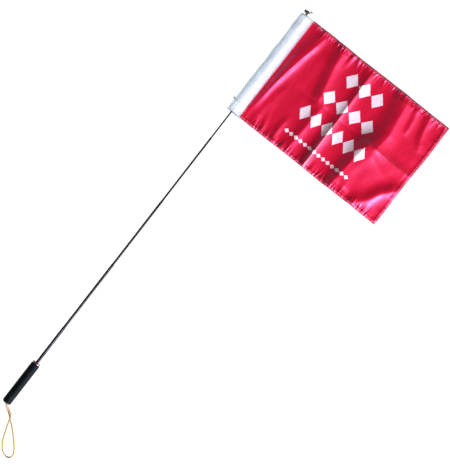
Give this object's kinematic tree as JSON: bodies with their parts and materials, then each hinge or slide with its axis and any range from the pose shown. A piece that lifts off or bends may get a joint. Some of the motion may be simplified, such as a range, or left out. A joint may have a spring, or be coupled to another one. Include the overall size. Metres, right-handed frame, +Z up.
{
  "type": "telescopic flagstick",
  "caption": "Slim telescopic steel pole with a foam hand grip and wrist cord, carrying a small red flag in a white pole pocket that turns about the tip.",
  "frame": {"origin": "on the pole's axis at the middle of the hand grip", "axes": "+X along the pole from the grip to the tip, the flag lies towards -Y, +Z is up from the surface that the flagstick lies on"},
  "size_m": [1.348, 0.4731, 0.0268],
  "materials": {
    "grip_foam": "matte",
    "black_plastic": "satin",
    "maroon_plastic": "gloss",
    "pole_steel": "polished",
    "bush_brass": "satin",
    "grey_plastic": "satin",
    "dark_wire": "satin",
    "gold_cord": "satin",
    "red_satin": "satin",
    "white_cloth": "matte",
    "white_thread": "matte"
  },
  "bodies": {
    "handle": {"foam_grip": "grip_foam", "grip_core": "black_plastic", "core_bush_lower": "black_plastic", "core_bush_upper": "black_plastic", "anchor_pin": "pole_steel", "grip_collar": "maroon_plastic", "end_cap": "black_plastic", "cord_knot": "gold_cord", "wrist_cord": "gold_cord", "pole_section_1": "pole_steel"},
    "section_2": {"pole_section_2": "pole_steel", "friction_bush_2": "bush_brass"},
    "section_3": {"pole_section_3": "pole_steel", "friction_bush_3": "bush_brass"},
    "section_4": {"pole_section_4": "pole_steel", "friction_bush_4": "bush_brass"},
    "section_5": {"pole_section_5": "pole_steel", "friction_bush_5": "bush_brass"},
    "section_6": {"pole_section_6": "pole_steel", "friction_bush_6": "bush_brass", "tip_cap": "grey_plastic", "tip_hook": "dark_wire"},
    "flag": {"header_sleeve": "white_cloth", "flag_panel": "red_satin", "lower_tie": "white_thread", "top_tie": "white_thread"}
  },
  "joints": [
    {"name": "section_2_slide", "type": "slide", "parent": "handle", "child": "section_2", "axis": [1, 0, 0], "range_m": [-0.18, 0]},
    {"name": "section_3_slide", "type": "slide", "parent": "section_2", "child": "section_3", "axis": [1, 0, 0], "range_m": [-0.18, 0]},
    {"name": "section_4_slide", "type": "slide", "parent": "section_3", "child": "section_4", "axis": [1, 0, 0], "range_m": [-0.18, 0]},
    {"name": "section_5_slide", "type": "slide", "parent": "section_4", "child": "section_5", "axis": [1, 0, 0], "range_m": [-0.18, 0]},
    {"name": "section_6_slide", "type": "slide", "parent": "section_5", "child": "section_6", "axis": [1, 0, 0], "range_m": [-0.18, 0]},
    {"name": "flag_swivel", "type": "hinge", "parent": "section_6", "child": "flag", "pos_m": [1, 0, 0], "axis": [1, 0, 0], "continuous": true}
  ]
}
